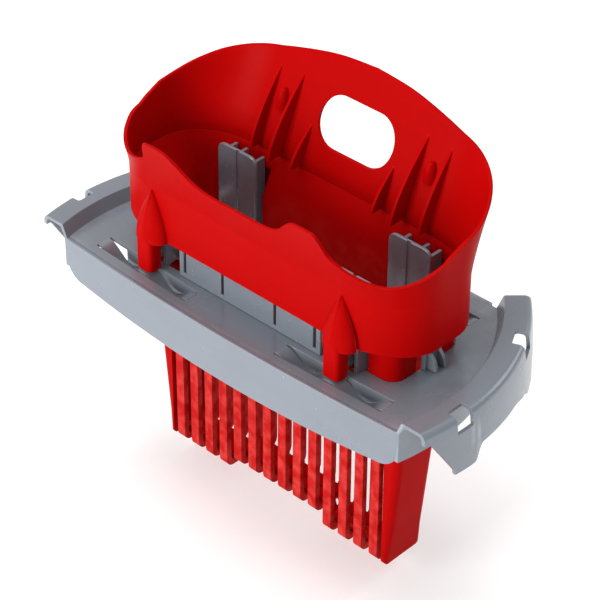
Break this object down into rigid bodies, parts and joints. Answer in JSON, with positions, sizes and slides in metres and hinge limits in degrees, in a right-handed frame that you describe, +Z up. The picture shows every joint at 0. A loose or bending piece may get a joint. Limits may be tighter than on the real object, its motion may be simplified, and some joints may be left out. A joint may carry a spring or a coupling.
{
  "type": "bucket mop wringer insert",
  "caption": "Wringer insert for a round mop bucket: a hooked rim tray carries a sprung funnel and slotted basket that slides down to squeeze a flat mop.",
  "frame": {"origin": "middle of the mop opening, on the plane of the bucket rim that the hooks rest on", "axes": "+Z up, +X to the user's right, -Y towards the user; the press unit slides along -Z"},
  "size_m": [0.3104, 0.1435, 0.2664],
  "materials": {
    "red_plastic": "smooth moulded red polypropylene",
    "grey_plastic": "smooth moulded silver-grey polypropylene"
  },
  "bodies": {
    "frame": {"tray_floor": "grey_plastic", "front_apron": "grey_plastic", "rear_apron": "grey_plastic", "left_rim_hook": "grey_plastic", "right_rim_hook": "grey_plastic", "front_fence": "grey_plastic", "rear_fence": "grey_plastic", "front_left_guide_post": "grey_plastic", "front_right_guide_post": "grey_plastic", "rear_left_guide_post": "grey_plastic", "rear_right_guide_post": "grey_plastic", "left_end_guide": "grey_plastic", "right_end_guide": "grey_plastic", "front_left_leaf_spring": "grey_plastic", "front_right_leaf_spring": "grey_plastic", "rear_left_leaf_spring": "grey_plastic", "rear_right_leaf_spring": "grey_plastic"},
    "press_unit": {"funnel": "red_plastic", "throat_collar": "red_plastic", "basket_band": "red_plastic", "basket_floor": "red_plastic", "basket_left_end": "red_plastic", "basket_right_end": "red_plastic", "left_retaining_lug": "red_plastic", "right_retaining_lug": "red_plastic", "front_left_foot": "red_plastic", "front_right_foot": "red_plastic", "rear_left_foot": "red_plastic", "rear_right_foot": "red_plastic", "rear_left_wall_rib_1": "red_plastic", "rear_left_wall_rib_2": "red_plastic", "rear_left_wall_rib_3": "red_plastic", "rear_right_wall_rib_1": "red_plastic", "rear_right_wall_rib_2": "red_plastic", "rear_right_wall_rib_3": "red_plastic", "front_left_wall_rib_1": "red_plastic", "front_left_wall_rib_2": "red_plastic", "front_right_wall_rib_1": "red_plastic", "front_right_wall_rib_2": "red_plastic", "basket_rib_01": "red_plastic", "basket_rib_02": "red_plastic", "basket_rib_03": "red_plastic", "basket_rib_04": "red_plastic", "basket_rib_05": "red_plastic", "basket_rib_06": "red_plastic", "basket_rib_07": "red_plastic", "basket_rib_08": "red_plastic", "basket_rib_09": "red_plastic", "basket_rib_10": "red_plastic", "basket_rib_11": "red_plastic", "basket_rib_12": "red_plastic", "basket_rib_13": "red_plastic", "basket_rib_14": "red_plastic"}
  },
  "joints": [
    {"name": "press_slide", "type": "slide", "parent": "frame", "child": "press_unit", "axis": [0, 0, -1], "range_m": [0, 0.014], "stiffness_N_per_m": 4000, "springref_m": -0.002, "deforming": ["front_left_leaf_spring", "front_right_leaf_spring", "rear_left_leaf_spring", "rear_right_leaf_spring"]}
  ]
}
